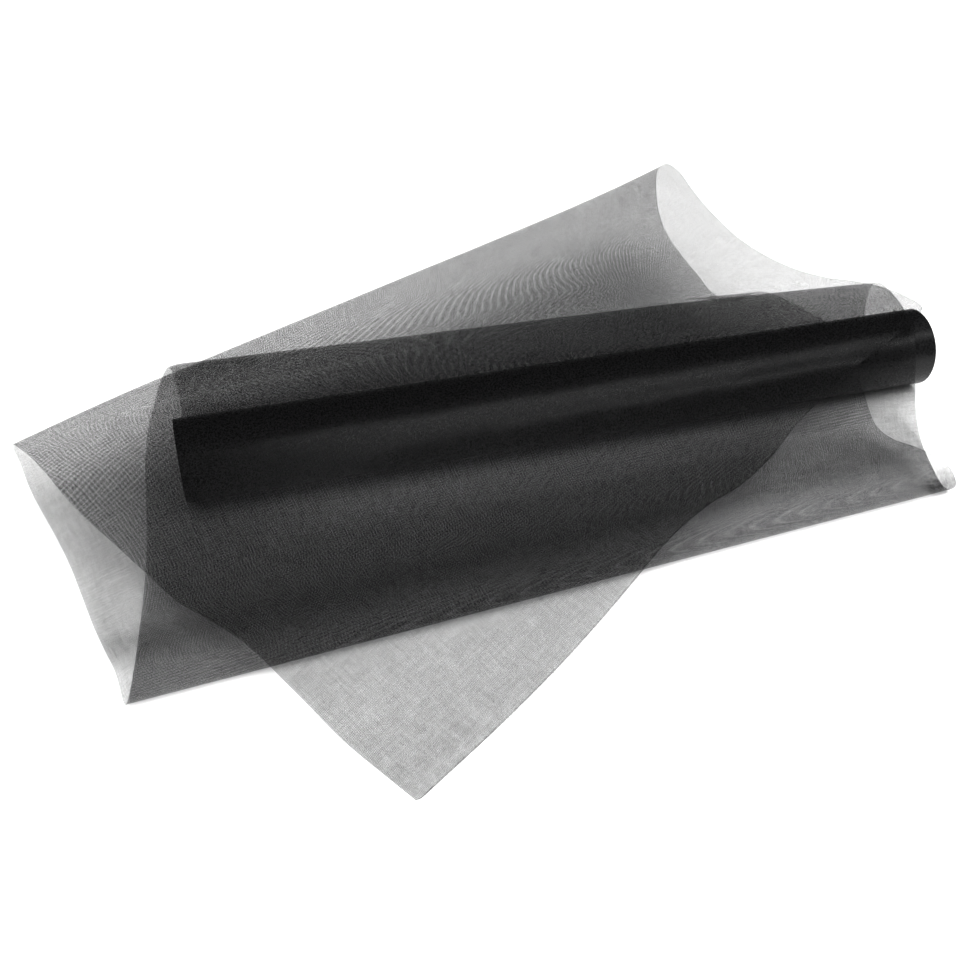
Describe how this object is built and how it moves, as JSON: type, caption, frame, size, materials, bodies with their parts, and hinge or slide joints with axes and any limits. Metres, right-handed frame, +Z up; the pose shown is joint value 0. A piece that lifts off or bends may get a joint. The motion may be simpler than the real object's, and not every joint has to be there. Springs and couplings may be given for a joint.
{
  "type": "insect screen mesh",
  "caption": "Part-unrolled roll of fine charcoal insect screen cloth, its loose end folded back and forth over the roll, resting on a surface.",
  "frame": {"origin": "on the surface it rests on, under the middle of its box", "axes": "+X along the roll's length, +Z up, -Y towards the cut end that lies in front"},
  "size_m": [1.1883, 0.9565, 0.1596],
  "materials": {
    "wound_cloth": "wound charcoal coated yarn, slightly satin",
    "loose_cloth": "open charcoal mesh of coated yarn, see-through"
  },
  "bodies": {
    "root": {"wound_roll": "wound_cloth", "loose_sheet": "loose_cloth"}
  },
  "joints": []
}
